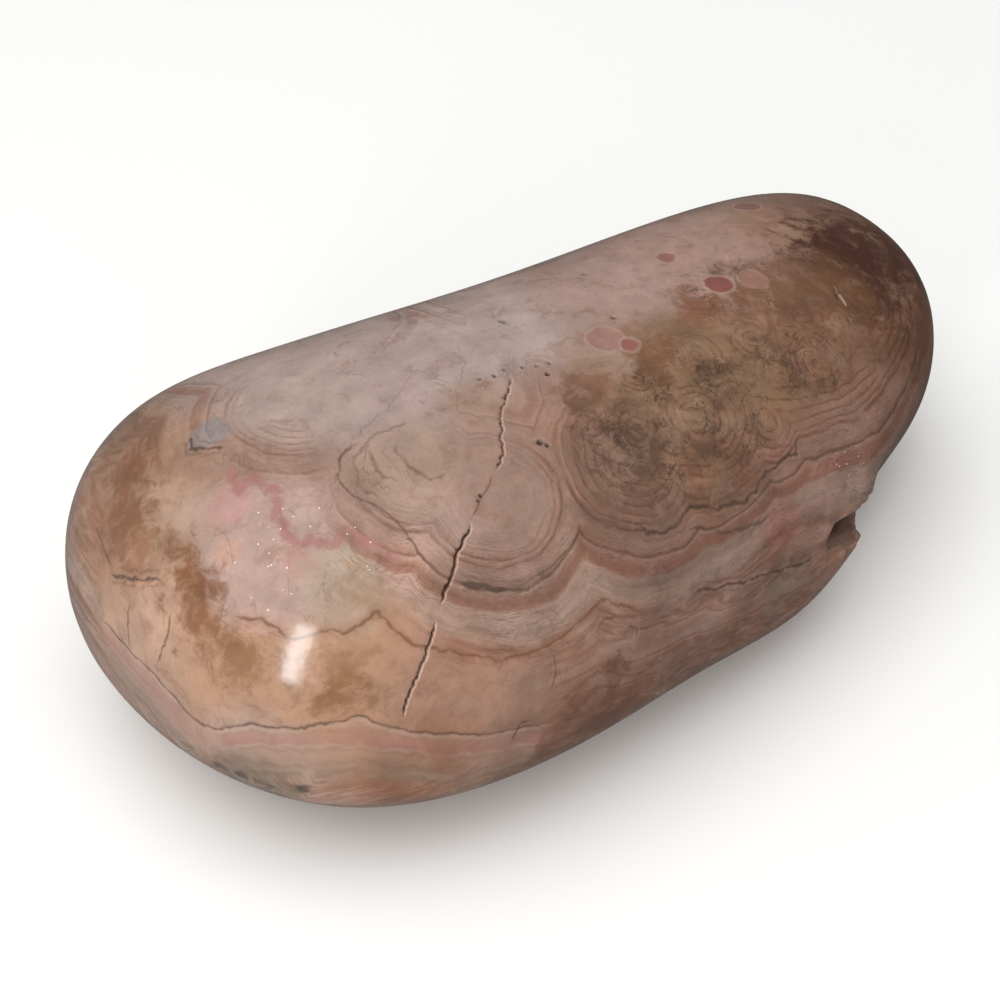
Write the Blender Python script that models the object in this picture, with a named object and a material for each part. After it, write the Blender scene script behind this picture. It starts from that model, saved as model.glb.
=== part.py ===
"""Polished free-form rhodochrosite: one banded stone, broad at one end, with a natural cleft in its narrow end.

Run with: blender --background --python part.py
Metres, +Z up. X runs along the stone, from the broad end (-X) to the narrow end (+X).
The origin is on the resting plane, under the middle of the stone's box.
"""

import math

import bmesh
import bpy
from mathutils import Matrix, Vector

MM = 0.001

# The body's length, and how square its ends and its cross-section are. A power of 2 is an ellipse.
LENGTH = 140 * MM
BROAD_END_POWER = 2.65
NARROW_END_POWER = 2.8
SECTION_POWER = 2.3

# The distance from the stone's middle line to each side, as (at mid length, taper, flare).
NEAR_SIDE = (34.0 * MM, -0.17, 0.06)
FAR_SIDE = (30.5 * MM, -0.30, 0.17)
TOP_SIDE = (28.5 * MM, -0.28, 0.14)
UNDERSIDE = (24.5 * MM, -0.02, 0.0)

# The middle line bows towards the near side (-Y) by this much at mid length, and rises to the narrow end.
SWAY = 7.3 * MM
RISE = 0.8 * MM

# Gentle lobes and hollows that the polisher followed: (centre, reach, push).
LOBES = (
    ("lip_below_the_cleft", (18, -37, -13), 16, (0.6, -2.8, -1.5)),
    ("end_of_the_lip", (30, -39, -5), 6, (2.2, -1.4, 0.6)),
    ("undercut_of_the_narrow_end", (42, -34, -8), 12, (-2.4, 2.0, 0.2)),
    ("broad_end_shoulder", (-50, 22, 20), 14, (0.2, 1.0, 1.0)),
    ("broad_end_foot", (-62, -14, -12), 14, (0.8, 0.4, 0.6)),
)

# How deep the resting flat is worn into the belly.
RESTING_WEAR = 0.8 * MM

# The cleft: a lens-shaped void, from its pointed tip on the near side round to the narrow end.
CLEFT_TIP = Vector((18, -41.5, 0.5)) * MM
CLEFT_END = Vector((42, -29, -8.5)) * MM
CLEFT_INWARD = Vector((-0.35, 0.9, 0.1))
CLEFT_DEPTH = 8 * MM
CLEFT_HALF_GAP = 2.6 * MM
CLEFT_POINTEDNESS = 0.3

# Mesh density, in rings along the stone and points round each ring.
RINGS = 60
POINTS_ROUND = 48

STONE_COLOUR = (0.36, 0.21, 0.16, 1.0)
STONE_ROUGHNESS = 0.22


def reach_to(side, u):
    """A side's distance from the middle line at u, from -1 at the broad end to +1 at the narrow end."""
    middle, taper, flare = side
    return middle * (1 + taper * u + flare * u * u)


def end_rounding(u):
    """How much of its full size the section has at u: 1 at mid length, falling to 0 at either end."""
    power = BROAD_END_POWER if u < 0 else NARROW_END_POWER
    return max(0.0, 1 - abs(u) ** power) ** (1 / power)


def squared(value):
    """A sine or cosine turned into the coordinate of a rounded square."""
    return math.copysign(abs(value) ** (2 / SECTION_POWER), value)


def lobed(point):
    """The point after each lobe or hollow has pushed it."""
    moved = point.copy()
    for _, centre, reach, push in LOBES:
        distance = (point - Vector(centre) * MM).length / (reach * MM)
        moved += Vector(push) * MM * math.exp(-distance * distance)
    return moved


def surface_point(u, turn):
    """The polished surface at u along the stone and at the angle turn round it."""
    across = squared(math.cos(turn))
    upward = squared(math.sin(turn))
    side = FAR_SIDE if across > 0 else NEAR_SIDE
    height = TOP_SIDE if upward > 0 else UNDERSIDE
    size = end_rounding(u)
    bow = -SWAY * (1 - u * u)
    return lobed(
        Vector(
            (
                LENGTH / 2 * u,
                bow + across * reach_to(side, u) * size,
                RISE * u + upward * reach_to(height, u) * size,
            )
        )
    )


def ring(bm, u):
    """One closed ring of vertices round the stone at u."""
    turns = (2 * math.pi * k / POINTS_ROUND for k in range(POINTS_ROUND))
    return [bm.verts.new(surface_point(u, turn)) for turn in turns]


def closed_by(bm, pole, loop, at_start):
    """Triangles that close an end from a ring to its pole."""
    for k, vertex in enumerate(loop):
        after = loop[(k + 1) % POINTS_ROUND]
        bm.faces.new((pole, vertex, after) if at_start else (pole, after, vertex))


def body_mesh():
    """The whole stone before the cleft, as a loft of rings that crowd together towards both ends."""
    bm = bmesh.new()
    stations = [-math.cos(math.pi * k / RINGS) for k in range(1, RINGS)]
    rings = [ring(bm, u) for u in stations]
    for first, second in zip(rings, rings[1:]):
        for k in range(POINTS_ROUND):
            after = (k + 1) % POINTS_ROUND
            bm.faces.new((first[k], second[k], second[after], first[after]))
    broad_pole = bm.verts.new(surface_point(-1, 0))
    narrow_pole = bm.verts.new(surface_point(1, 0))
    closed_by(bm, broad_pole, rings[0], True)
    closed_by(bm, narrow_pole, rings[-1], False)
    bmesh.ops.recalc_face_normals(bm, faces=bm.faces)
    return bm


def wear_resting_flat(bm):
    """Planes the belly off just above its lowest point, and closes it with one flat face."""
    level = min(vertex.co.z for vertex in bm.verts) + RESTING_WEAR
    everything = [*bm.verts, *bm.edges, *bm.faces]
    cut = bmesh.ops.bisect_plane(
        bm,
        geom=everything,
        plane_co=(0, 0, level),
        plane_no=(0, 0, -1),
        clear_outer=True,
    )
    rim = [item for item in cut["geom_cut"] if isinstance(item, bmesh.types.BMEdge)]
    bmesh.ops.edgeloop_fill(bm, edges=rim)
    bmesh.ops.recalc_face_normals(bm, faces=bm.faces)
    return level


def origin_shift(bm, level):
    """The move that puts the resting flat at z = 0 and the box's middle over the origin."""
    low, high = (
        Vector([pick(vertex.co[axis] for vertex in bm.verts) for axis in range(3)])
        for pick in (min, max)
    )
    middle = (low + high) / 2
    return Vector((-middle.x, -middle.y, -level))


def cleft_mesh():
    """The void's shape: a sphere drawn out to a spindle, pointed at both ends, with +X along it and +Y inwards."""
    half_length = (CLEFT_END - CLEFT_TIP).length / 2
    bm = bmesh.new()
    bmesh.ops.create_uvsphere(bm, u_segments=24, v_segments=20, radius=1)
    bmesh.ops.rotate(
        bm, verts=bm.verts, matrix=Matrix.Rotation(math.pi / 2, 3, "Y"), cent=(0, 0, 0)
    )
    for vertex in bm.verts:
        pinch = max(0.0, 1 - vertex.co.x**2) ** CLEFT_POINTEDNESS
        vertex.co.x *= half_length
        vertex.co.y *= CLEFT_DEPTH * pinch
        vertex.co.z *= CLEFT_HALF_GAP * pinch
    return bm


def cleft_placement():
    """The matrix that lays the void between its two ends, with its depth pointing into the stone."""
    along = (CLEFT_END - CLEFT_TIP).normalized()
    inward = (CLEFT_INWARD - CLEFT_INWARD.dot(along) * along).normalized()
    gapwise = along.cross(inward)
    turn = Matrix((along, inward, gapwise)).transposed().to_4x4()
    return Matrix.Translation((CLEFT_TIP + CLEFT_END) / 2) @ turn


def linked_object(name, bm):
    """A new object in the scene that holds the finished mesh."""
    mesh = bpy.data.meshes.new(name)
    bm.to_mesh(mesh)
    bm.free()
    mesh.shade_smooth()
    obj = bpy.data.objects.new(name, mesh)
    bpy.context.scene.collection.objects.link(obj)
    return obj


def polished_stone():
    """Low-grade rhodochrosite, dusty pink-brown, with a wet-looking lapidary polish."""
    material = bpy.data.materials.new("polished_rhodochrosite")
    material.use_nodes = True
    shader = material.node_tree.nodes["Principled BSDF"]
    shader.inputs["Base Color"].default_value = STONE_COLOUR
    shader.inputs["Roughness"].default_value = STONE_ROUGHNESS
    shader.inputs["Metallic"].default_value = 0.0
    return material


def main():
    for obj in list(bpy.data.objects):
        bpy.data.objects.remove(obj)

    body = body_mesh()
    level = wear_resting_flat(body)
    shift = origin_shift(body, level)
    bmesh.ops.translate(body, verts=body.verts, vec=shift)
    stone = linked_object("stone", body)
    stone.data.materials.append(polished_stone())

    cleft = linked_object("cleft_cutter", cleft_mesh())
    cleft.matrix_world = Matrix.Translation(shift) @ cleft_placement()
    cleft.hide_render = True
    cleft.display_type = "WIRE"

    cut = stone.modifiers.new("cleft", "BOOLEAN")
    cut.operation = "DIFFERENCE"
    cut.object = cleft


main()
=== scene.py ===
"""The looks of a polished free-form rhodochrosite: its fine surface, crack, pits, cleft and growth bands.

Places and sizes are in millimetres in the row frame: X runs from the broad end (-X) to the narrow end (+X),
-Y is the near side, and the stone rests on Z = 0. Blender's own data is in metres.
"""

import math

import bmesh
import bpy
import numpy as np
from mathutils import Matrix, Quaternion, Vector, bvhtree, noise


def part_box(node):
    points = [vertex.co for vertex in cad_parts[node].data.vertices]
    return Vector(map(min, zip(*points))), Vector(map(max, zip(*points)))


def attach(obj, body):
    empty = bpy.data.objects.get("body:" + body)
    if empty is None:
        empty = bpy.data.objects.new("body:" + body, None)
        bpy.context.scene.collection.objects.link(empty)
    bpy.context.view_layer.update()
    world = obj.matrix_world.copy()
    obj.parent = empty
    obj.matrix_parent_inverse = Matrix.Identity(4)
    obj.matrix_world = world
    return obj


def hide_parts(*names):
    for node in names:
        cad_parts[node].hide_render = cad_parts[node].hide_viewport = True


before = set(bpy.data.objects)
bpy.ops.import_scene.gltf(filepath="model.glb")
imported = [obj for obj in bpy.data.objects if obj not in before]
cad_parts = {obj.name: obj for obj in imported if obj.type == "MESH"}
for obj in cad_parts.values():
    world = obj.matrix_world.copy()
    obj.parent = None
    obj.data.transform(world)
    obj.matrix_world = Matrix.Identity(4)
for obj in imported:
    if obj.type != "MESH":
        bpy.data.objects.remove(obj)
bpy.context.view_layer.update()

MM = 0.001

# How fine the surface is made, and how much it is relaxed to lose the CAD facets, first coarse and then fine.
# Every coarse edge is cut in two, and near a crack or pit each half is cut in three.
REMESH_EDGE = 1.28
RELAX_ROUNDS = 33
RELAX_ROUNDS_FINE = 5
CLEFT_FREEDOM = 0.15
DETAIL_REACH = 0.8

# The cleft as the CAD cuts it: a spindle between two points, this deep and half this wide.
CLEFT_TIP = Vector((17.9, -35.1, 24.3))
CLEFT_END = Vector((41.9, -22.6, 15.3))
CLEFT_INWARD = Vector((-0.35, 0.9, 0.1))
CLEFT_DEPTH = 8.0
CLEFT_HALF_GAP = 2.6
CLEFT_POINTEDNESS = 0.3

# As shares of the distance to the cleft's wall: how far its lips go, and where the surface is free of it.
CLEFT_LIP = 1.3
CLEFT_CLEAR = 2.2
# The depth that marks a point as outside the cleft.
NOT_IN_CLEFT = -9.0

# The open crack: its depth, and the half widths below which it is closed, its painted shade pale, and
# shallow.
CRACK_DEPTH = 1.0
CRACK_CLOSED = 0.02
CRACK_PALE = 0.15
CRACK_SHALLOW = 0.3

# Lines on the surface, by family: (half width, fade at each end, wander, points it passes through).
LINES = {
    "crack": (
        (0.13, 2.5, 0.20, (
            (-14.2, -5.2, 53.6), (-15.6, -7.1, 53.6), (-18.2, -9.1, 53.5), (-20.3, -10.6, 53.5),
            (-22.3, -13.1, 53.0), (-24.3, -16.1, 52.2), (-25.9, -17.0, 51.9), (-27.5, -17.9, 51.5),
        )),
        (0.17, 2.5, 0.20, (
            (-32.8, -20.7, 49.9), (-33.7, -21.4, 49.5), (-35.6, -22.1, 48.8), (-37.3, -23.3, 47.5),
            (-39.7, -24.3, 46.2), (-41.3, -25.2, 44.8), (-42.3, -25.8, 43.9),
        )),
        (0.15, 2.0, 0.18, (
            (-42.6, -26.0, 43.4), (-44.4, -27.1, 40.9), (-45.9, -27.5, 39.2), (-47.5, -27.9, 37.1),
            (-49.1, -28.1, 34.4), (-50.3, -28.4, 31.6),
        )),
        (0.22, 1.0, 0.15, ((39.8, -11.6, 45.7), (39.4, -13.6, 45.2), (39.0, -15.5, 44.4))),
        (0.18, 3.0, 0.25, (
            (-30.0, 26.0, 40.0), (-26.0, 27.5, 36.0), (-23.0, 28.0, 31.0), (-17.0, 28.5, 27.0),
            (-14.0, 29.0, 21.0),
        )),
    ),
    "brown_seam": (
        (0.17, 4.0, 0.25, (
            (-62.5, -9.5, 43.2), (-59.7, -13.4, 43.8), (-59.0, -15.0, 43.4), (-58.3, -17.0, 42.2),
            (-54.8, -19.4, 43.3), (-52.9, -20.9, 43.3), (-50.5, -21.7, 44.1), (-48.5, -21.8, 45.2),
            (-48.1, -23.7, 43.3), (-47.0, -25.7, 41.4), (-45.1, -27.2, 40.5), (-42.2, -28.9, 39.1),
            (-40.0, -30.3, 37.7), (-36.8, -31.6, 36.5), (-33.2, -32.4, 36.1), (-29.5, -33.0, 35.9),
            (-25.9, -33.0, 37.0), (-23.6, -32.6, 37.9), (-21.7, -32.6, 38.1), (-19.0, -33.5, 36.2),
            (-17.1, -34.2, 34.2), (-14.8, -34.5, 33.2),
        )),
    ),
    "dark_seam": (
        (0.20, 3.0, 0.35, (
            (-14.5, -28.6, 44.2), (-10.2, -30.6, 41.1), (-6.8, -30.3, 41.2), (-5.0, -29.9, 41.5),
            (-2.6, -30.0, 41.0), (0.1, -31.0, 39.3), (3.1, -31.0, 38.8), (5.5, -31.0, 38.2),
            (7.7, -30.4, 38.9), (10.0, -29.4, 39.8), (16.4, -28.7, 39.4), (17.2, -27.3, 41.0),
        )),
        (0.20, 4.0, 0.30, (
            (-9.2, -34.6, 32.3), (-1.0, -34.7, 29.5), (4.4, -34.7, 27.6), (6.9, -34.7, 26.6),
            (9.9, -34.7, 25.8), (13.7, -34.9, 24.0), (17.5, -35.1, 24.3),
        )),
        (0.28, 1.2, 0.20, (
            (-52.4, 12.4, 51.6), (-53.2, 10.2, 51.6), (-52.2, 8.2, 52.1), (-50.4, 6.6, 52.7),
        )),
        (0.40, 2.5, 0.10, (
            (-38.8, -24.7, 46.0), (-36.6, -26.3, 44.9), (-34.8, -27.3, 44.2), (-32.7, -28.4, 43.3),
        )),
        (0.20, 1.5, 0.30, ((-68.2, 9.6, 39.4), (-66.5, 4.1, 41.2), (-65.0, 0.2, 43.2))),
    ),
    "low_seam": (
        (0.13, 4.0, 0.20, (
            (-69.4, 11.0, 31.8), (-69.5, 1.6, 31.0), (-69.2, -1.7, 30.9), (-68.7, -5.3, 29.4),
            (-67.9, -8.9, 27.3), (-67.1, -11.1, 27.1), (-65.9, -13.6, 28.7), (-64.6, -15.6, 30.5),
            (-62.1, -19.2, 30.9), (-60.6, -20.8, 31.2), (-57.0, -24.0, 32.5), (-54.4, -26.0, 33.2),
            (-50.7, -28.3, 30.6), (-46.0, -30.5, 28.6), (-41.2, -32.5, 26.5), (-35.5, -33.9, 25.0),
            (-30.1, -34.9, 23.3),
        )),
    ),
    "soft_arc": (
        (0.22, 1.5, 0.20, (
            (-38.0, -6.6, 54.2), (-39.0, -8.5, 53.9), (-39.0, -10.6, 53.4), (-37.6, -12.6, 53.0),
        )),
        (0.20, 1.5, 0.20, (
            (-34.6, -7.8, 54.2), (-35.6, -10.0, 53.7), (-35.2, -12.4, 53.2), (-34.0, -14.3, 52.7),
            (-31.8, -15.0, 52.6),
        )),
        (0.14, 1.5, 0.20, (
            (-31.0, -5.6, 54.4), (-36.0, -4.8, 54.5), (-40.2, -6.4, 54.0), (-42.0, -10.0, 53.0),
            (-41.2, -13.4, 52.4),
        )),
        (0.30, 1.5, 0.30, (
            (-12.5, -17.2, 51.1), (-13.0, -19.6, 50.2), (-12.4, -21.9, 49.0), (-9.1, -24.2, 47.2),
            (-6.0, -24.4, 46.9), (-3.4, -23.0, 47.5),
        )),
        (0.22, 1.5, 0.30, (
            (-15.4, -18.0, 50.6), (-15.6, -21.2, 49.2), (-13.6, -24.6, 47.3), (-9.6, -27.0, 45.4),
            (-4.6, -27.2, 45.0),
        )),
        (0.26, 1.0, 0.30, (
            (-6.6, -19.2, 49.8), (-7.2, -20.6, 49.2), (-5.8, -21.8, 48.6), (-4.4, -20.6, 49.1),
        )),
        (0.22, 1.5, 0.30, (
            (0.6, -20.1, 48.6), (-0.2, -21.6, 47.9), (0.6, -24.6, 46.0), (2.8, -25.9, 44.8),
        )),
        (0.24, 1.5, 0.15, (
            (35.0, -20.5, 42.6), (39.7, -20.8, 40.7), (44.0, -18.6, 40.6), (47.6, -15.0, 41.2),
        )),
        (0.20, 1.5, 0.15, (
            (36.0, -22.6, 41.0), (41.0, -22.6, 38.9), (46.0, -19.8, 38.8), (50.0, -15.6, 39.2),
        )),
        (0.20, 1.5, 0.15, ((38.0, -17.5, 43.4), (42.0, -17.0, 42.5), (46.0, -13.8, 42.7))),
    ),
    "fine_seam": (
        (0.13, 3.0, 0.10, (
            (-33.0, -28.3, 43.4), (-31.0, -28.5, 43.5), (-28.4, -28.6, 43.8), (-25.1, -28.4, 44.2),
            (-22.1, -27.7, 45.0), (-20.0, -26.6, 46.2),
        )),
        (0.09, 1.0, 0.10, ((-27.0, -17.6, 51.7), (-29.6, -19.0, 51.0), (-33.2, -20.9, 49.8))),
        (0.045, 2.0, 0.40, (
            (-24.5, 2.1, 54.5), (-29.1, -0.8, 54.7), (-32.9, -2.5, 54.7), (-37.0, -3.5, 54.6),
            (-41.1, -5.3, 54.1), (-44.0, -7.0, 53.3),
        )),
        (0.045, 1.5, 0.30, (
            (-24.5, 1.5, 54.5), (-22.1, -3.7, 54.3), (-24.3, -7.8, 54.1), (-22.5, -10.8, 53.6),
        )),
        (0.045, 1.0, 0.30, ((-22.1, -3.7, 54.3), (-19.4, -2.0, 54.1), (-17.2, 1.5, 53.8))),
        (0.13, 3.0, 0.15, (
            (-37.3, -4.6, 54.5), (-41.3, -5.1, 54.1), (-43.2, -7.2, 53.5), (-43.7, -9.6, 53.0),
            (-43.3, -11.4, 52.5), (-42.1, -13.4, 52.1), (-41.0, -16.7, 51.0), (-41.0, -19.3, 49.6),
            (-40.7, -21.6, 48.1), (-39.9, -23.8, 46.8),
        )),
        (0.20, 2.0, 0.25, (
            (-6.1, -31.1, 40.0), (-2.0, -32.0, 37.7), (1.9, -32.5, 36.2), (5.5, -32.7, 35.0),
            (9.0, -32.4, 35.0),
        )),
        (0.24, 0.8, 0.10, ((-23.2, -33.8, 35.0), (-22.1, -33.6, 35.6), (-20.3, -33.9, 34.9))),
        (0.20, 0.8, 0.10, ((-18.9, -34.6, 33.2), (-17.5, -34.8, 32.0), (-17.7, -35.1, 30.6))),
        (0.14, 2.0, 0.10, ((-65.3, 16.3, 41.5), (-66.8, 11.3, 40.5), (-67.5, 9.0, 39.8))),
        (0.12, 2.0, 0.15, ((-67.8, 4.3, 38.4), (-69.0, 3.9, 34.0), (-69.7, 3.2, 30.6))),
        (0.12, 2.0, 0.15, (
            (-65.9, -2.6, 41.1), (-67.0, -3.2, 38.6), (-67.8, -3.4, 36.5), (-69.0, -1.9, 31.6),
        )),
        (0.12, 1.5, 0.15, ((-30.0, -33.2, 34.9), (-30.6, -34.0, 31.7), (-31.4, -34.3, 29.0))),
        (0.16, 1.0, 0.15, ((-34.2, -34.1, 25.6), (-36.0, -33.8, 26.0), (-37.2, -33.6, 22.9))),
    ),
}

# How far to each side of its lines a family is read, in mm. The low seam's layers are placed by its reading.
LINE_REACH = {
    "crack": 2.0,
    "brown_seam": 2.0,
    "dark_seam": 2.0,
    "low_seam": 11.0,
    "soft_arc": 2.0,
    "fine_seam": 2.0,
}
# How far apart a laid line's samples are, in mm, and the noise that it wanders by: its cells to the mm.
SAMPLE_STEP = 0.2
FAR_OFF = 1000.0
WANDER_CELLS = 0.55
FINE_WANDER_CELLS = 1.7
FINE_WANDER_SHARE = 0.5
# That noise is shifted by a seed, which is taken from the clock unless one is set.
WANDER_SEED = 1

# How each family of seam looks: (family, colour, amount, wobble, softness, how far beside it, extra spread).
# A family can be laid more than once: as a stained halo, as lines beside it, and then as the seam itself.
SEAM_LOOKS = (
    ("brown_seam", "#85573a", 0.45, 1.6, 0.50, 0.0, 0.35),
    ("dark_seam", "#5b4336", 0.45, 0.7, 0.12, 0.95, -0.05),
    ("dark_seam", "#5b4336", 0.40, 0.7, 0.12, -0.85, -0.06),
    ("low_seam", "#7a5540", 0.50, 0.9, 0.30, 0.0, 0.10),
    ("brown_seam", "#64402b", 0.75, 0.5, 0.14, 0.0, 0.0),
    ("dark_seam", "#3f2b20", 0.80, 0.7, 0.14, 0.0, 0.0),
    ("low_seam", "#4a3427", 0.70, 0.6, 0.12, 0.0, 0.0),
    ("fine_seam", "#4f382b", 0.75, 0.4, 0.12, 0.0, 0.0),
    ("soft_arc", "#563c2c", 0.60, 0.9, 0.22, 0.0, 0.0),
)

# The layers below the low seam, as (distance from it in mm, colour).
LOW_LAYERS = (
    (0.0, "#ac8f83"),
    (0.6, "#aa8e83"),
    (0.9, "#977463"),
    (1.6, "#9f7266"),
    (2.8, "#98685f"),
    (3.3, "#a08578"),
    (3.9, "#8d6e5c"),
    (4.4, "#997c6c"),
    (5.6, "#8f7261"),
    (6.0, "#7f6656"),
    (7.2, "#8b7664"),
    (8.2, "#6e5d4c"),
    (9.0, "#806d5c"),
)
LOW_LAYER_SPAN = 10.0

# The soft rose vein: half width, how far off it is read, and the points it passes through.
ROSE_VEIN_HALF_WIDTH = 0.35
ROSE_VEIN_REACH = 4.0
ROSE_VEIN = (
    (-52.5, 2.9, 52.2), (-53.2, -0.3, 51.8), (-50.8, -0.2, 52.6), (-50.4, -4.1, 52.4),
    (-52.0, -6.3, 51.6), (-52.5, -10.1, 50.3), (-49.6, -13.4, 50.2), (-46.7, -14.2, 50.8),
    (-45.1, -16.7, 50.0), (-43.5, -19.7, 48.8),
)

# How uneven a pit's rim is, as a share of its radius, and the cells to the mm of the noise that makes it so.
PIT_RAGGEDNESS = 0.6
PIT_CELLS = 1.8

# Open pits that the polish didn't reach the bottom of: (centre, radius, depth).
PITS = (
    ((-7.6, 4.6, 52.9), 0.55, 0.7),
    ((-18.7, -16.6, 51.8), 0.60, 0.7),
    ((-18.1, -17.4, 51.6), 0.40, 0.4),
    ((10.0, 8.0, 50.6), 0.40, 0.4),
    ((5.5, -3.2, 51.7), 0.45, 0.5),
    ((41.2, 2.4, 47.2), 0.45, 0.5),
    ((45.3, -0.8, 46.3), 0.45, 0.5),
    ((-18.4, -4.2, 54.0), 0.32, 0.4),
    ((-16.5, -4.7, 53.8), 0.40, 0.5),
    ((-14.6, -4.4, 53.8), 0.28, 0.4),
    ((-12.2, -5.2, 53.4), 0.34, 0.4),
    ((-10.4, -6.0, 53.2), 0.28, 0.4),
    ((-10.2, -7.9, 53.0), 0.40, 0.4),
    ((-8.6, -6.3, 52.9), 0.35, 0.4),
    ((-30.2, -19.0, 51.0), 0.30, 0.3),
    ((-30.9, -19.4, 50.8), 0.22, 0.3),
    ((18.0, 24.0, 40.0), 0.60, 0.6),
    ((-45.0, 26.0, 38.0), 0.50, 0.5),
    ((-2.0, 31.0, 24.0), 0.55, 0.6),
    ((52.0, 12.0, 34.0), 0.50, 0.5),
    ((-20.0, -30.0, 9.0), 0.50, 0.5),
)

# Growth centres: (name, centre, radius of its first skin, colour of its heart, amount of that colour).
NUCLEI = (
    ("pale orb", (-39.3, 6.0, 54.4), 9.6, "#a39085", 0.5),
    ("ringed orb", (-34.4, -12.2, 53.3), 9.0, "#9b8271", 0.7),
    ("cracked orb", (-28.9, -19.6, 50.7), 9.5, "#94796b", 0.6),
    ("mossy orb", (-8.8, -23.0, 48.0), 10.2, "#6a4e3b", 0.6),
    ("mossy shoulder", (2.6, -18.1, 49.2), 15.2, "#75573f", 0.3),
    ("small scallop", (13.5, -24.5, 43.8), 6.0, "#7a5845", 0.3),
    ("brown shoulder", (26.6, 8.2, 48.8), 37.5, "#846350", 0.0),
    ("far back orb", (-30.0, 22.0, 44.0), 14.0, "#a08a80", 0.6),
    ("back orb", (2.0, 30.0, 30.0), 13.0, "#977a6a", 0.6),
    ("low back orb", (-25.0, 26.0, 14.0), 12.0, "#9a7763", 0.6),
    ("narrow back orb", (40.0, 20.0, 26.0), 12.0, "#775643", 0.6),
    ("end orb", (66.0, 0.0, 22.0), 11.0, "#6b4a38", 0.6),
    ("broad end orb", (-64.0, 14.0, 14.0), 13.0, "#9f7e6d", 0.6),
    ("under orb", (-30.0, -12.0, 1.0), 13.0, "#a3826e", 0.6),
    ("under middle orb", (12.0, 6.0, 0.0), 15.0, "#94735f", 0.6),
    ("under narrow orb", (46.0, -6.0, 6.0), 12.0, "#7d5b49", 0.6),
)

# Small orbs inside the mossy field: (centre, radius).
SMALL_ORBS = (
    ((-5.3, -20.4, 49.1), 3.0),
    ((4.2, -22.3, 47.0), 5.0),
    ((11.3, -14.9, 49.4), 3.6),
    ((20.2, -14.9, 48.3), 3.6),
    ((19.5, -20.5, 46.0), 3.4),
    ((27.6, -20.9, 44.2), 4.8),
    ((30.3, -24.3, 40.6), 3.2),
    ((18.0, -25.0, 43.5), 2.8),
    ((-11.5, -17.0, 51.2), 2.2),
    ((-2.5, -27.5, 44.5), 2.4),
    ((36.0, -16.0, 44.0), 3.2),
    ((44.5, -13.0, 43.5), 6.5),
    ((8.5, -28.0, 42.0), 2.2),
    ((0.0, -14.0, 50.8), 2.6),
)

# Tints of a small orb's rings, by how far inside its edge they are, in mm.
SMALL_ORB_RINGS = (
    (0.0, "#bcbcbc"),
    (0.12, "#7a6a5e"),
    (0.45, "#c6c4c1"),
    (0.95, "#b9b2ab"),
    (1.15, "#83746a"),
    (1.45, "#c4c2be"),
    (2.1, "#c0bcb6"),
    (2.3, "#86776c"),
    (2.6, "#c4c1bb"),
    (3.6, "#b3aba3"),
    (3.8, "#83746a"),
    (4.1, "#b8b1aa"),
)
SMALL_ORB_DEPTH = 5.0

# The main layers inside and outside the first skin, as (distance in mm, tint). NEUTRAL changes nothing.
NEUTRAL = "#bcbcbc"
LAYERS = (
    (-6.4, "#bcbcbc"),
    (-6.2, "#9d8e83"),
    (-5.9, "#bebcba"),
    (-4.7, "#bcbab8"),
    (-4.45, "#97887d"),
    (-4.2, "#c0bebc"),
    (-3.5, "#b9b5b1"),
    (-3.3, "#94857a"),
    (-3.0, "#c2c1bf"),
    (-2.3, "#b5afa9"),
    (-2.1, "#8f8075"),
    (-1.8, "#c2c1bf"),
    (-1.2, "#b0a7a0"),
    (-1.0, "#8d7d72"),
    (-0.7, "#c2c0be"),
    (-0.3, "#a89c93"),
    (-0.05, "#85766c"),
    (0.3, "#b8b4b0"),
    (1.2, "#c2c3c2"),
    (2.4, "#b9b5b1"),
    (2.8, "#86796f"),
    (3.1, "#c8caca"),
    (3.6, "#b3a79f"),
    (4.2, "#a8968d"),
    (4.9, "#ad9b91"),
    (5.3, "#c4c9cb"),
    (7.4, "#c8d1d5"),
    (9.0, "#c4cacd"),
    (9.7, "#ab9f96"),
    (10.2, "#bcbcbc"),
)
LAYER_START = -6.5
LAYER_SPAN = 17.5

# Tints of the broad layers beyond, as (level of a noise across the layers, tint).
BROAD_LAYERS = (
    (0.34, "#b6b1ad"),
    (0.42, "#c2c5c6"),
    (0.48, "#ab9a90"),
    (0.53, "#c0bfbe"),
    (0.58, "#a3958b"),
    (0.66, "#c0c2c3"),
)
# Farther than any point is from its nearest skin.
OUTSIDE = 60.0

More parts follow.
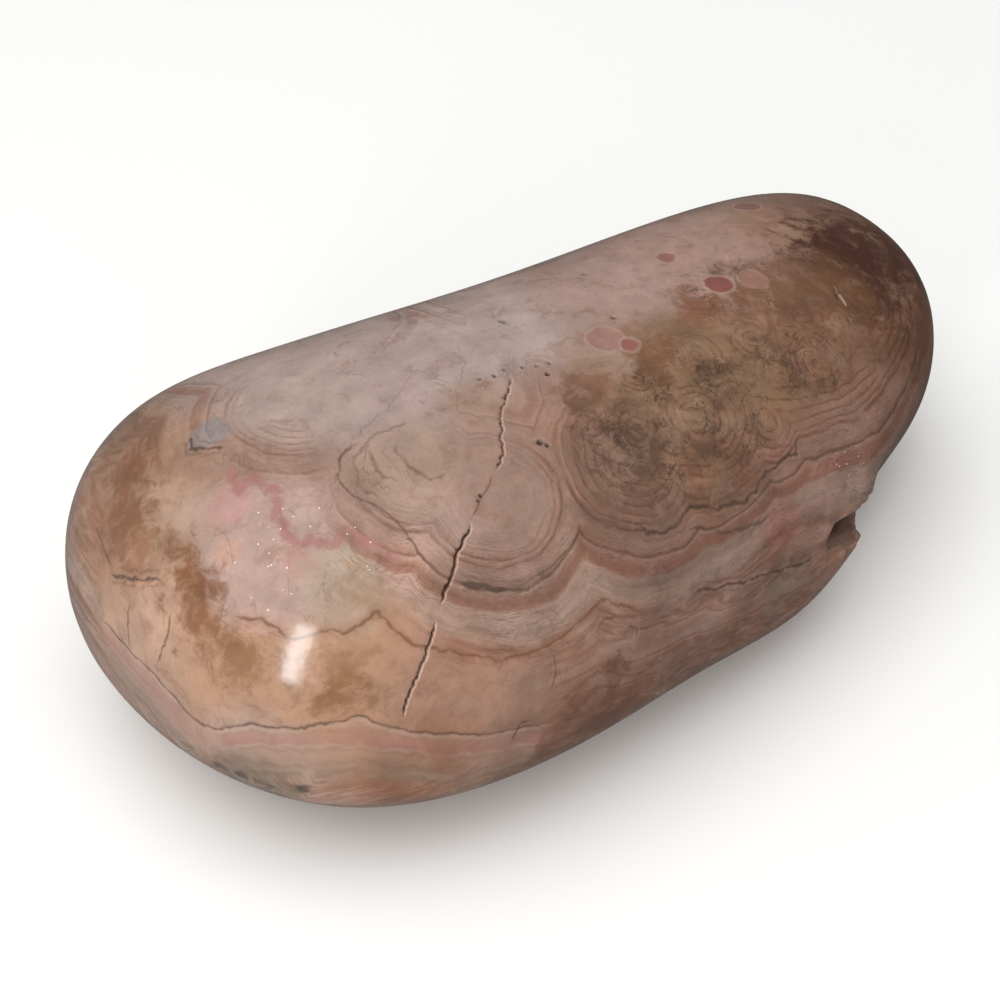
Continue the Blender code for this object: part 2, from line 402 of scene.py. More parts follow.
# The stone's ground colour, and broad changes of it: (name, centre, reach, softness, colour, amount).
GROUND = "#8f7263"
ZONES = (
    ("back", (-5, 34, 26), 34, 0.9, "#98796b", 0.8),
    ("underside", (0, 0, -4), 34, 0.8, "#9a7763", 0.7),
    ("lilac top", (-22, 16, 54), 26, 0.5, "#a69088", 0.95),
    ("lilac top by the orbs", (-12, -2, 54), 12, 0.9, "#a4918a", 0.8),
    ("lilac far edge", (22, 16, 46), 11, 0.9, "#9b8481", 0.85),
    ("pink field", (26, 4, 49), 16, 0.7, "#a18274", 0.9),
    ("pink field's middle", (10, 2, 51), 9, 0.9, "#a5897e", 0.8),
    ("brown narrow end", (54, -12, 32), 24, 0.6, "#6f4a34", 0.95),
    ("tan by the narrow cap", (42.5, 3, 47), 7, 0.9, "#98745f", 0.8),
    ("dusty narrow flank", (40, -26, 33), 10, 0.9, "#866555", 0.9),
    ("brown mossy field", (8, -22, 46.5), 17, 0.5, "#7c5e45", 0.95),
    ("brown end of the moss", (30, -18, 45), 8, 0.9, "#79563f", 0.9),
    ("brown by the end rings", (45, -18, 40), 7, 0.9, "#68432a", 0.9),
    ("tan by the crack", (-13, -13, 52), 7, 0.9, "#967464", 0.9),
    ("tan over the crack", (-21, -7.5, 54), 5, 0.9, "#997b68", 0.8),
    ("tan above the moss", (-2, -9, 52), 5, 0.9, "#a08474", 0.85),
    ("dark rings of the mossy orb", (-17, -27.5, 45), 4.5, 0.9, "#6b4c3b", 0.75),
    ("dark heart of the mossy orb", (-6, -21, 48.8), 4.5, 0.9, "#573d2e", 0.8),
    ("near layers", (0, -35, 30), 20, 0.6, "#7f6153", 0.95),
    ("brown below the curls", (2, -28.5, 42.3), 6, 0.9, "#68472f", 0.8),
    ("brown beside it", (12, -29, 40), 5, 0.9, "#724e3c", 0.7),
    ("dusty band under the moss", (-12, -31, 41), 6, 0.9, "#72564a", 0.6),
    ("near layers by the cleft", (19, -31, 35), 9, 0.9, "#87685b", 0.9),
    ("low near layers", (0, -36, 16), 18, 0.8, "#715243", 0.9),
    ("pale band", (3, -33.5, 35.5), 4.5, 0.9, "#86695b", 0.6),
    ("pale low layers", (-5, -35, 29.5), 7, 0.9, "#8b6e62", 0.75),
    ("tan above the flank", (-30, -34, 31), 9, 0.9, "#8d6e5e", 0.95),
    ("cracked orb's skin", (-32, -27, 45), 7, 0.9, "#876a5d", 0.7),
    ("cracked orb's left", (-37, -19, 50.5), 5, 0.9, "#a98c7f", 0.85),
    ("peach foot", (-59, -18, 36), 17, 0.6, "#a67e62", 0.95),
    ("peach front", (-45, -30, 34), 9, 0.9, "#96705b", 0.9),
    ("peach left side", (-68, 4, 36), 11, 0.9, "#ad8a73", 0.9),
    ("brown foot", (-28, -35, 18), 12, 0.9, "#6c4a36", 0.85),
    ("brown under the front", (-49, -30, 23), 8, 0.9, "#80563d", 0.9),
    ("lilac rim under the foot", (-62, -16, 24), 9, 0.9, "#a1887a", 0.9),
    ("lilac rim on the left", (-69, 0, 24), 8, 0.9, "#9b7f70", 0.85),
    ("mossy rim", (-64, -15, 19), 6, 0.9, "#716150", 0.85),
    ("stained broad end", (-62, 14, 46), 12, 0.8, "#8d6950", 0.85),
    ("brown far corner", (-55, 23, 47), 6, 0.9, "#7d5d48", 0.8),
    ("cream window", (-60, 7, 48.5), 4.5, 0.8, "#a4866f", 0.85),
    ("crystal bed", (-55, -9, 49), 9.5, 0.4, "#a5897e", 0.95),
    ("bed's far corner", (-58, 1, 49), 4.5, 0.9, "#a08575", 0.8),
    ("rose blob", (-55.0, -0.8, 51.1), 2.7, 0.6, "#aa8078", 0.75),
    ("rose in the bed", (-52.7, -13.5, 49), 2.6, 0.7, "#a5786f", 0.7),
    ("peach blob in the bed", (-58.7, -4.8, 48.5), 1.7, 0.5, "#ac8675", 0.8),
    ("pale green-grey bed", (-50.5, -17.5, 47.5), 4.5, 0.9, "#9b8775", 0.8),
    ("rosy step by the bed", (-43.5, -20.5, 48.3), 3.5, 0.9, "#ab8677", 0.8),
    ("grey window", (-50.6, 9.8, 52.8), 2.9, 0.3, "#857b79", 0.95),
    ("dark edge of the grey window", (-53.0, 9.8, 51.8), 0.9, 0.9, "#3e3838", 0.8),
    ("dusty rose patch", (10.5, -33.4, 32), 3.6, 0.9, "#825248", 0.6),
    ("grey-green seam side", (11, -35, 24), 5.0, 0.9, "#6b5d4d", 0.6),
)

# Iron stains: (centre, reach, colour, amount). Their edges are broken up by noise.
STAINS = (
    ((-59.2, 15.9, 47.8), 4.2, "#6d4429", 0.85),
    ((-63.1, 11.3, 45.5), 6.0, "#70482c", 0.9),
    ((-66.0, 5.0, 42.5), 4.0, "#7d5437", 0.7),
    ((-61.5, 0.0, 45.0), 4.0, "#79502f", 0.8),
    ((-63.4, -4.1, 44.4), 4.6, "#6f431e", 0.95),
    ((-64.4, -7.4, 41.6), 4.0, "#784d2e", 0.9),
    ((-62.7, -13.7, 39.5), 4.6, "#7e5532", 0.85),
    ((-55.5, -21.8, 39.5), 4.0, "#7f5633", 0.65),
    ((-55.5, -23.9, 36.0), 3.6, "#7a5131", 0.9),
    ((-51.0, -29.0, 25.0), 4.6, "#72462b", 0.85),
    ((-44.0, -31.5, 23.5), 3.6, "#764c33", 0.7),
    ((-49.0, -19.0, 47.5), 2.6, "#8d6a4c", 0.5),
    ((6.3, -11.8, 50.7), 4.6, "#6b452c", 0.85),
    ((-6.5, -13.5, 51.5), 4.4, "#77503a", 0.8),
    ((-9.5, -15.0, 51.3), 3.0, "#5c3f2d", 0.7),
    ((17.6, -7.6, 50.1), 4.6, "#784a30", 0.8),
    ((24.0, -10.0, 48.6), 4.5, "#734b33", 0.75),
    ((47.0, -5.5, 45.0), 7.5, "#4c2404", 0.95),
    ((51.5, -6.5, 43.6), 10.0, "#3b1501", 0.97),
    ((59.0, -6.0, 39.0), 7.0, "#4a2409", 0.9),
    ((42.0, -11.0, 45.4), 6.0, "#5f3d22", 0.8),
    ((32.0, -10.0, 47.6), 8.0, "#6c482f", 0.8),
    ((52.0, -19.0, 33.0), 6.0, "#52301b", 0.6),
    ((-21.7, -35.3, 27.9), 2.6, "#5c3c29", 0.8),
    ((-33.7, -33.7, 18.1), 5.0, "#5f3c24", 0.8),
    ((-22.0, -35.0, 18.0), 6.0, "#573620", 0.8),
    ((36.0, 24.0, 30.0), 8.0, "#5f3e28", 0.7),
    ((-8.0, 30.0, 14.0), 7.0, "#7a5436", 0.6),
    ((-60.0, -4.0, 6.0), 6.0, "#835a3a", 0.6),
    ((20.0, -22.0, 4.0), 7.0, "#73513a", 0.6),
    ((-66.8, -10.2, 19.4), 1.4, "#2e241b", 0.9),
    ((-65.3, -13.8, 19.2), 1.5, "#2c2219", 0.9),
    ((-63.6, -16.7, 18.9), 1.3, "#30261c", 0.9),
    ((-60.9, -20.4, 19.2), 1.4, "#2e241b", 0.9),
    ((-68.3, -5.6, 21.0), 1.3, "#352a20", 0.8),
)

# Where the rings show on the top as well: (centre, reach, strength).
RINGED_PATCHES = (
    ((-46.5, 1.5, 53.5), 8.0, 0.8),
    ((-36.0, -14.0, 52.5), 8.0, 0.35),
    ((-14.0, -22.0, 49.5), 7.0, 0.8),
    ((42.0, -14.0, 44.0), 9.0, 0.8),
)

# Where the rings go on deep inside the skins: (centre, reach, strength).
NESTED_PATCHES = (
    ((-10.0, -24.0, 47.0), 10.0, 1.0),
    ((8.0, -27.0, 43.0), 12.0, 1.0),
    ((28.0, -25.0, 41.0), 13.0, 1.0),
    ((46.0, -16.0, 41.0), 10.0, 1.0),
    ((-46.5, 0.5, 53.5), 6.0, 1.0),
)

# Where no layers show: (centre, reach).
PLAIN_PATCHES = (
    ((-30.0, 22.0, 45.0), 17.0),
    ((4.0, 24.0, 43.0), 15.0),
    ((-66.0, -6.0, 41.0), 21.0),
    ((-56.0, -22.0, 36.0), 14.0),
    ((-40.0, -33.0, 29.0), 9.0),
)

# Where manganese has grown through the stone as brown moss: (centre, reach, strength).
MOSS = (
    ((-6.0, -22.0, 48.5), 10.0, 1.0),
    ((6.0, -20.0, 48.0), 11.0, 1.0),
    ((26.0, -12.0, 46.0), 13.0, 1.0),
    ((46.0, -8.0, 42.0), 14.0, 1.0),
    ((-62.0, -10.0, 16.0), 9.0, 1.0),
    ((30.0, 22.0, 34.0), 12.0, 1.0),
)

# Where glints of cleavage faces are painted on as bright spots in the colour: (centre, reach, share of grains
# that get one).
PAINTED_GLINT_BEDS = (
    ((-54.5, -10.0, 49.5), 7.5, 0.16),
    ((-55.0, -1.0, 51.0), 4.5, 0.12),
    ((-49.0, -16.0, 49.0), 4.5, 0.12),
    ((-14.0, -5.0, 53.5), 4.5, 0.22),
    ((24.0, -30.0, 33.0), 4.0, 0.10),
)

# Clear rose-red crystals, each in a pale rim: (centre, radius, colour, amount).
CRYSTALS = (
    ((23.7, -4.9, 49.7), 2.1, "#7f4840", 0.95),
    ((1.4, -6.2, 51.9), 2.5, "#966d62", 0.75),
    ((3.5, -8.6, 51.5), 1.3, "#864f48", 0.85),
    ((22.1, 4.3, 49.9), 1.4, "#8d5a52", 0.85),
    ((44.8, 10.6, 45.5), 2.0, "#7f524a", 0.85),
    ((35.4, -0.2, 48.2), 2.2, "#9d7568", 0.55),
    ((29.0, -6.3, 48.9), 1.9, "#8e6252", 0.65),
    ((12.0, 22.0, 42.0), 1.7, "#84504b", 0.85),
    ((26.0, 24.0, 34.0), 1.3, "#8b5a52", 0.85),
    ((-18.0, 29.0, 22.0), 1.4, "#8b5a52", 0.85),
)

# Single tones.
ROSE_LAYER = "#86584c"
DARK_LAYER = "#4f3629"
MILKY = "#ab8f83"
TAN = "#7d5b47"
VEIN_ROSE = "#99665f"
WISP_BROWN = "#5c4335"
CRYSTAL_RIM = "#ac8d80"
# The colour of the painted glints, light reflected off cleavage faces.
PAINTED_GLINT = "#f2e2d8"
# A painted highlight on the lip of the crack that faces the light.
PAINTED_LIP_HIGHLIGHT = "#cba590"
# Painted shade in the open crack, in the pits and in the cleft's throat.
PAINTED_CRACK_SHADE = "#3a2318"
PAINTED_PIT_SHADE = "#35221a"
PAINTED_THROAT_SHADE = "#2a160d"

# Sizes of what the patterns draw, in mm.
SUGAR_GRAIN = 0.5263
CLEAVAGE_GRAIN = 0.5882
SEAM_RAGGEDNESS = 0.9091
VEIN_RAGGEDNESS = 1.4286
MOSS_SPECK = 1.5
SEAM_SWELL = 1.818
STAIN_MOTTLE = 2.381
RING_GAP = 2.857
MOSS_CURL = 3.4
MILKY_PATCH = 3.571
WORN_PATCH = 4.545
CLOUD = 4.545
MOSS_BLOTCH = 5.0
LOW_LAYER_SWAY = 5.882
THIN_LINE_PATCH = 7.692
WISP = 8.0
LOW_LAYER_PATCH = 10.0
LAYER_RUN = 20.0

# Outwards across the stone and less so downwards, which tells its flanks from its top.
FLANKWARD = (0.0, 0.8, -0.6)

# The carbonate's lower index, and the roughness of what the polish didn't reach.
RHODOCHROSITE_IOR = 1.6
RAW_ROUGHNESS = 0.75

# The studio: a tall window-shaped soft box low on the left, in a pale room that is brighter on that side.
WINDOW_AIM = Vector((-58, -18, 40))
WINDOW_AZIMUTH = -57.5
WINDOW_ELEVATION = 12.5
WINDOW_DISTANCE = 600.0
WINDOW_SIZE = (84.0, 385.0)
WINDOW_ROLL = -9.0
WINDOW_POWER = 1.1
CEILING_PLACE = (-220.0, -60.0, 900.0)
CEILING_SIZE = 900.0
CEILING_POWER = 6.5
STONE_MIDDLE = (0.0, 0.0, 20.0)
SKY_BRIGHT = 0.80
SKY_DIM = 0.06
SKY_BRIGHT_AZIMUTH = -70.0
SKY_BRIGHT_ELEVATION = 30.0
TABLE_HALF_METRES = 3.0

CAMERA_AIM = Vector((-8.5, 3.9, 21.4))
CAMERA_AZIMUTH = -39.1
CAMERA_ELEVATION = 42.5
CAMERA_DISTANCE = 299.6
CAMERA_LENS = 75.0


def linear(hex_colour):
    """An sRGB hex colour as the linear RGBA that the renderer works in."""
    channels = [int(hex_colour[k : k + 2], 16) / 255 for k in (1, 3, 5)]
    return [c / 12.92 if c <= 0.04045 else ((c + 0.055) / 1.055) ** 2.4 for c in channels] + [1.0]


def eased(values, low, high):
    """0 below low, 1 above high, and a smooth step between. Low may be above high, which turns it round."""
    t = np.clip((values - low) / (high - low), 0, 1)
    return t * t * (3 - 2 * t)


# ---- The fine surface ----


def points_of(mesh):
    """A mesh's vertices in millimetres."""
    flat = np.empty(len(mesh.vertices) * 3)
    mesh.vertices.foreach_get("co", flat)
    return flat.reshape(-1, 3) / MM


def normals_of(mesh):
    """A mesh's vertex normals."""
    flat = np.empty(len(mesh.vertices) * 3)
    mesh.vertex_normals.foreach_get("vector", flat)
    return flat.reshape(-1, 3)


def move_to(mesh, points):
    """Puts a mesh's vertices at points in millimetres."""
    mesh.vertices.foreach_set("co", (points * MM).ravel())
    mesh.update()


def relaxed(mesh, points, rounds, freedom):
    """Points that go halfway to the mean of their neighbours each round, times each one's freedom."""
    pairs = np.empty(len(mesh.edges) * 2, np.int64)
    mesh.edges.foreach_get("vertices", pairs)
    first, second = pairs.reshape(-1, 2).T
    count = len(points)
    neighbours = np.bincount(first, minlength=count) + np.bincount(second, minlength=count)
    for _ in range(rounds):
        total = np.zeros_like(points)
        for axis in range(3):
            total[:, axis] += np.bincount(first, points[second, axis], count)
            total[:, axis] += np.bincount(second, points[first, axis], count)
        points = points + 0.5 * freedom[:, None] * (total / neighbours[:, None] - points)
    return points


def cleft_place(points):
    """How far each point is from the cleft's middle line, as a share of its wall's, and its depth inwards."""
    along = (CLEFT_END - CLEFT_TIP).normalized()
    inward = (CLEFT_INWARD - CLEFT_INWARD.dot(along) * along).normalized()
    across = along.cross(inward)
    half_length = (CLEFT_END - CLEFT_TIP).length / 2
    offset = points - np.array((CLEFT_TIP + CLEFT_END) / 2)
    lengthwise, depth, gap = (offset @ np.array(axis) for axis in (along, inward, across))
    pinch = np.maximum(1e-3, 1 - (lengthwise / half_length) ** 2) ** CLEFT_POINTEDNESS
    share = np.hypot(depth / CLEFT_DEPTH, gap / CLEFT_HALF_GAP) / pinch
    share[abs(lengthwise) > half_length] = FAR_OFF
    return share, depth


def cleft_freedom(points):
    """How freely each vertex may relax: little near the cleft, so that its lips stay crisp."""
    share, _ = cleft_place(points)
    return CLEFT_FREEDOM + (1 - CLEFT_FREEDOM) * eased(share, CLEFT_LIP, CLEFT_CLEAR)


def fitted_to(points, low, high):
    """The points stretched to fill a box again, after relaxing has drawn them in."""
    now_low, now_high = points.min(0), points.max(0)
    return low + (points - now_low) * (high - low) / (now_high - now_low)


def remeshed(source):
    """The CAD stone as an even mesh of small quads, in a new object."""
    start = bpy.data.objects.new("polished_stone", source.data.copy())
    bpy.context.scene.collection.objects.link(start)
    work = bmesh.new()
    work.from_mesh(start.data)
    bmesh.ops.remove_doubles(work, verts=work.verts, dist=1e-6)
    work.to_mesh(start.data)
    work.free()
    remesh = start.modifiers.new("even quads", "REMESH")
    remesh.mode = "VOXEL"
    remesh.voxel_size = REMESH_EDGE * MM
    evaluated = start.evaluated_get(bpy.context.evaluated_depsgraph_get())
    even = bpy.data.meshes.new_from_object(evaluated)
    start.modifiers.clear()
    start.data = even
    return start


def divided(mesh, chosen, cuts):
    """Cuts every edge whose two ends are both chosen, and fills the faces between."""
    work = bmesh.new()
    work.from_mesh(mesh)
    work.verts.ensure_lookup_table()
    edges = [e for e in work.edges if chosen[e.verts[0].index] and chosen[e.verts[1].index]]
    bmesh.ops.subdivide_edges(work, edges=edges, cuts=cuts, use_grid_fill=True)
    work.to_mesh(mesh)
    work.free()


# ---- Lines and pits on the surface ----


class LaidLine:
    """A line laid on the surface through given points, as close samples with a side direction and a fade."""

    def __init__(self, surface, points, fade, wander):
        corners = np.array(points, float)
        spans = np.linalg.norm(np.diff(corners, axis=0), axis=1)
        along = np.concatenate([[0], np.cumsum(spans)])
        steps = np.arange(0, along[-1], SAMPLE_STEP)
        straight = np.stack([np.interp(steps, along, corners[:, axis]) for axis in range(3)], axis=1)
        laid = []
        normals = []
        for at in straight:
            start = Vector(at)
            drift = noise.noise_vector(start * WANDER_CELLS)
            drift += FINE_WANDER_SHARE * noise.noise_vector(start * FINE_WANDER_CELLS)
            spot, normal, _, _ = surface.find_nearest((start + wander * 2 * drift) * MM)
            laid.append(spot / MM)
            normals.append(normal)
        self.places = np.array(laid)
        tangents = np.gradient(self.places, axis=0)
        tangents /= np.linalg.norm(tangents, axis=1)[:, None] + 1e-9
        self.sideways = np.cross(np.array(normals), tangents)
        self.strength = eased(np.minimum(steps, steps[-1] - steps), 0, fade)

    def read(self, points, reach):
        """For each point: its distance to the line's one side, how far off it is, and the line's strength."""
        signed = np.full(len(points), reach)
        apart = np.full(len(points), FAR_OFF)
        strength = np.zeros(len(points))
        low, high = self.places.min(0) - reach, self.places.max(0) + reach
        near = np.flatnonzero(((points > low) & (points < high)).all(1))
        for part in np.array_split(near, max(1, len(near) // 2000)):
            gaps = points[part][:, None, :] - self.places[None]
            squares = (gaps**2).sum(2)
            closest = squares.argmin(1)
            rows = np.arange(len(part))
            apart[part] = np.sqrt(squares[rows, closest])
            signed[part] = (gaps[rows, closest] * self.sideways[closest]).sum(1)
            strength[part] = self.strength[closest]
        return signed, apart, strength * eased(apart, reach, reach * 0.6)


def family_reading(points, family):
    """Each point's side distance from the nearest line of a family, and that line's half width there."""
    reach = LINE_REACH[family]
    signed = np.full(len(points), reach)
    nearest = np.full(len(points), FAR_OFF)
    width = np.zeros(len(points))
    for half_width, fade, wander, course in LINES[family]:
        side, apart, strength = LaidLine(SURFACE, course, fade, wander).read(points, reach)
        closer = apart < nearest
        signed[closer] = side[closer]
        nearest[closer] = apart[closer]
        width[closer] = (strength * half_width)[closer]
    return signed, width


def surface_tree(mesh):
    """A search tree over a mesh's surface, in metres."""
    work = bmesh.new()
    work.from_mesh(mesh)
    tree = bvhtree.BVHTree.FromBMesh(work)
    work.free()
    return tree


def near_detail(points, reach):
    """Which points are within reach of a crack or pit, where the mesh has to be finer."""
    chosen = np.zeros(len(points), bool)
    for _, fade, _, course in LINES["crack"]:
        _, apart, _ = LaidLine(SURFACE, course, fade, wander=0).read(points, reach + 1)
        chosen |= apart < reach
    for centre, radius, _ in PITS:
        chosen |= np.linalg.norm(points - snapped(centre), axis=1) < radius + reach * 0.7
    return chosen


def snapped(place):
    """The point on the surface that is nearest to a place, both in millimetres."""
    return np.array(SURFACE.find_nearest(Vector(place) * MM)[0]) / MM


def crack_opening(side, width):
    """How open the crack is at each point: 1 over its middle half, falling to 0 just past its half width."""
    across = abs(side) / np.maximum(width, CRACK_CLOSED)
    return np.where(width > CRACK_CLOSED, eased(across, 1.15, 0.45), 0)


def pit_reading(points):
    """How deep the pits sink each point, in mm, and how far it is into one: 0 at the rim and 1 inside."""
    sunk = np.zeros(len(points))
    inside = np.zeros(len(points))
    for centre, radius, depth in PITS:
        apart = np.linalg.norm(points - snapped(centre), axis=1)
        near = apart < radius * 2
        ragged = np.array([noise.noise(Vector(p) * PIT_CELLS) for p in points[near]])
        apart[near] *= 1 + PIT_RAGGEDNESS * ragged
        hollow = eased(apart, radius, radius * 0.35)
        sunk = np.maximum(sunk, depth * hollow)
        inside = np.maximum(inside, hollow)
    return sunk, inside


def smoothed(mesh, rounds):
    """Relaxes a mesh and stretches it to the CAD stone's box again."""
    points = points_of(mesh)
    low, high = (np.array(corner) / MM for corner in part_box("stone"))
    calm = relaxed(mesh, points, rounds, cleft_freedom(points))
    move_to(mesh, fitted_to(calm, low, high))


def store(mesh, name, values):
    """Keeps one number for each vertex, for the material to read."""
    mesh.attributes.new(name, "FLOAT", "POINT").data.foreach_set("value", values.astype(np.float32))


noise.seed_set(WANDER_SEED)
stone = remeshed(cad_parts["stone"])
smoothed(stone.data, RELAX_ROUNDS)
divided(stone.data, np.ones(len(stone.data.vertices), bool), 1)
smoothed(stone.data, RELAX_ROUNDS_FINE)

SURFACE = surface_tree(stone.data)
divided(stone.data, near_detail(points_of(stone.data), DETAIL_REACH), 2)

points = points_of(stone.data)
for family in LINES:
    side, width = family_reading(points, family)
    store(stone.data, family + "_side", side)
    store(stone.data, family + "_width", width)
    if family == "crack":
        opening = crack_opening(side, width)
        crack_sunk = CRACK_DEPTH * opening * eased(width, 0, CRACK_SHALLOW)
        # How much painted shade the open crack gets, which also marks it as unpolished.
        store(stone.data, "crack", opening * eased(width, 0, CRACK_PALE))
_, vein_apart, _ = LaidLine(SURFACE, ROSE_VEIN, fade=2, wander=0.3).read(points, ROSE_VEIN_REACH)
store(stone.data, "rose_vein", np.minimum(vein_apart, ROSE_VEIN_REACH))
share, depth = cleft_place(points)
# How deep a point is in the cleft, which the cleft's painted shade follows.
store(stone.data, "cleft_depth", np.where(share < CLEFT_LIP, depth, NOT_IN_CLEFT))
pit_sunk, in_pit = pit_reading(points)
# How far into a pit a point is: its painted shade and its unpolished bottom follow this.
store(stone.data, "pit", in_pit)
sunk = np.maximum(crack_sunk, pit_sunk)
move_to(stone.data, points - normals_of(stone.data) * sunk[:, None])
stone.data.shade_smooth()


# ---- The material ----


def in_use(sockets, name):
    """The first socket in use that has the name, or the first in use if no name is given."""
    return next(socket for socket in sockets if socket.enabled and name in (None, socket.name))


class Finish:
    """A material, and the one way that nodes are added to it."""

    def __init__(self, name):
        self.material = bpy.data.materials.new(name)
        self.material.use_nodes = True
        self.tree = self.material.node_tree
        self.shader = self.tree.nodes["Principled BSDF"]

    def add(self, kind, inputs=None, give=None, stops=(), **settings):
        """Adds a node with its settings, feeds its inputs with numbers or outputs, and returns an output."""
        made = self.tree.nodes.new("ShaderNode" + kind)
        for name, value in settings.items():
            setattr(made, name, value)
        for key, source in (inputs or {}).items():
            socket = made.inputs[key] if isinstance(key, int) else in_use(made.inputs, key)
            if isinstance(source, bpy.types.NodeSocket):
                self.tree.links.new(source, socket)
            else:
                socket.default_value = source
        for k, (place, colour) in enumerate(stops):
            stop = made.color_ramp.elements[k] if k < 2 else made.color_ramp.elements.new(place)
            stop.position = place
            stop.color = linear(colour)
        return in_use(made.outputs, give)


def drifted(finish, place, coarse, fine):
    """The place moved about by noise, as far as coarse and fine say in mm, so that no band runs true."""
    for grain, reach in ((14.0, coarse), (5.0, coarse / 3), (2.0, fine)):
        swirl = finish.add("TexNoise", {"Vector": place, "Scale": 1 / grain, "Detail": 2.0}, "Color")
        centred = finish.add("VectorMath", {0: swirl, 1: (0.5, 0.5, 0.5)}, operation="SUBTRACT")
        # The centred noise rarely leaves a third either way, so three times the reach makes up for it.
        push = finish.add("VectorMath", {0: centred, "Scale": reach * 3}, operation="SCALE")
        place = finish.add("VectorMath", {0: place, 1: push}, operation="ADD")
    return place


def growth_and_hearts(finish, place):
    """How far each point is outside the nearest first skin, and the colour and amount of that heart."""
    growth, heart, amount = OUTSIDE, linear(NUCLEI[0][3]), 0.0
    for _, centre, radius, colour, strength in NUCLEI:
        apart = finish.add("VectorMath", {0: place, 1: centre}, "Value", operation="DISTANCE")
        beyond = finish.add("Math", {0: apart, 1: radius}, operation="SUBTRACT")
        closer = finish.add("Math", {0: beyond, 1: growth}, operation="LESS_THAN")
        heart = finish.add("Mix", {"Factor": closer, "A": heart, "B": linear(colour)}, data_type="RGBA")
        amount = finish.add("Mix", {"Factor": closer, "A": amount, "B": strength}, data_type="FLOAT")
        growth = finish.add("Math", {0: beyond, 1: growth}, operation="MINIMUM")
    return growth, heart, amount


def spot_cover(finish, place, centre, fade_from, fade_to, amount=1.0):
    """A spot: nothing at fade_from mm from its centre, the amount at fade_to, and an eased step between."""
    apart = finish.add("VectorMath", {0: place, 1: centre}, "Value", operation="DISTANCE")
    limits = {"From Min": fade_from, "From Max": fade_to, "To Max": amount}
    return finish.add("MapRange", {"Value": apart, **limits}, interpolation_type="SMOOTHSTEP")


def patch_cover(finish, place, patches, fade_from, fade_to, cover=0.0):
    """The most that any patch covers. The fades are shares of each patch's reach."""
    for centre, reach, strength in patches:
        patch = spot_cover(finish, place, centre, reach * fade_from, reach * fade_to, strength)
        cover = finish.add("Math", {0: cover, 1: patch}, operation="MAXIMUM")
    return cover


def tinted_by(finish, tint, cover, colour):
    """The colour times a tint where it is covered. NEUTRAL is half in linear light, hence the doubling."""
    tint = finish.add("Mix", {"Factor": cover, "A": linear(NEUTRAL), "B": tint}, data_type="RGBA")
    tinted = finish.add("VectorMath", {0: colour, 1: tint}, operation="MULTIPLY")
    return finish.add("VectorMath", {0: tinted, "Scale": 2.0}, operation="SCALE")


def zoned_ground(finish, place):
    """The ground colour, with each broad zone laid over the ones before."""
    ground = linear(GROUND)
    for _, centre, reach, softness, colour, amount in ZONES:
        fade_from = reach * (1 + softness / 2)
        fade_to = reach * (1 - softness / 2)
        cover = spot_cover(finish, place, centre, fade_from, fade_to, amount)
        ground = finish.add("Mix", {"Factor": cover, "A": ground, "B": linear(colour)}, data_type="RGBA")
    return ground


def with_hearts(finish, growth, heart, amount, ground):
    """The ground with each growth centre's own colour in its heart."""
    limits = {"From Min": 0.3, "From Max": -3.0}
    inside = finish.add("MapRange", {"Value": growth, **limits}, interpolation_type="SMOOTHSTEP")
    inside = finish.add("Math", {0: inside, 1: amount}, operation="MULTIPLY")
    return finish.add("Mix", {"Factor": inside, "A": ground, "B": heart}, data_type="RGBA")


def banding_strength(finish, place, clouded):
    """How plainly the layers show: fully down the flanks, where the cut crosses them, and faintly on top."""
    both_sides = finish.add("VectorMath", {0: place}, operation="ABSOLUTE")
    flank = finish.add("VectorMath", {0: both_sides, 1: FLANKWARD}, "Value", operation="DOT_PRODUCT")
    limits = {"From Min": -27.0, "From Max": -15.0, "To Min": 0.06, "To Max": 1.0}
    banding = finish.add("MapRange", {"Value": flank, **limits})
    banding = patch_cover(finish, clouded, RINGED_PATCHES, 1.0, 0.5, banding)
    for centre, reach in PLAIN_PATCHES:
        clear = spot_cover(finish, clouded, centre, reach * 0.75, reach * 1.15)
        banding = finish.add("Math", {0: banding, 1: clear}, operation="MULTIPLY")
    return banding


def main_layers(finish, place, clouded, growth, banding, colour):
    """The colour with the main layers on. They follow the growth skins and fade towards most hearts."""
    limits = {"From Min": LAYER_START, "From Max": LAYER_START + LAYER_SPAN}
    share = finish.add("MapRange", {"Value": growth, **limits})
    stops = [((distance - LAYER_START) / LAYER_SPAN, tint) for distance, tint in LAYERS]
    tint = finish.add("ValToRGB", {0: share}, "Color", stops=stops)
    limits = {"From Min": -3.4, "From Max": -0.6}
    by_skin = finish.add("MapRange", {"Value": growth, **limits}, interpolation_type="SMOOTHSTEP")
    nested = patch_cover(finish, clouded, NESTED_PATCHES, 1.1, 0.7)
    shown = finish.add("Math", {0: by_skin, 1: nested}, operation="MAXIMUM")
    # Inside the first skin they come and go. Outside it they are whole.
    whole = finish.add("TexNoise", {"Vector": place, "Scale": 1 / WORN_PATCH, "Detail": 3.0}, "Fac")
    limits = {"From Min": 0.36, "From Max": 0.58, "To Min": 0.2, "To Max": 1.0}
    whole = finish.add("MapRange", {"Value": whole, **limits})
    outside = finish.add("Math", {0: growth, 1: 0.5}, operation="GREATER_THAN")
    whole = finish.add("Math", {0: whole, 1: outside}, operation="MAXIMUM")
    shown = finish.add("Math", {0: shown, 1: whole}, operation="MULTIPLY")
    shown = finish.add("Math", {0: shown, 1: banding}, operation="MULTIPLY")
    return tinted_by(finish, tint, shown, colour)


def layer_noise(finish, place, growth, per_mm, detail, roughness):
    """Noise that changes fast from skin to skin and slowly along each of them."""
    slow = finish.add("VectorMath", {0: place, "Scale": 1 / LAYER_RUN}, operation="SCALE")
    depth = finish.add("Math", {0: growth, 1: per_mm}, operation="MULTIPLY")
    inputs = {"Vector": slow, "W": depth, "Scale": 1.0, "Detail": detail, "Roughness": roughness}
    return finish.add("TexNoise", inputs, "Fac", noise_dimensions="4D")


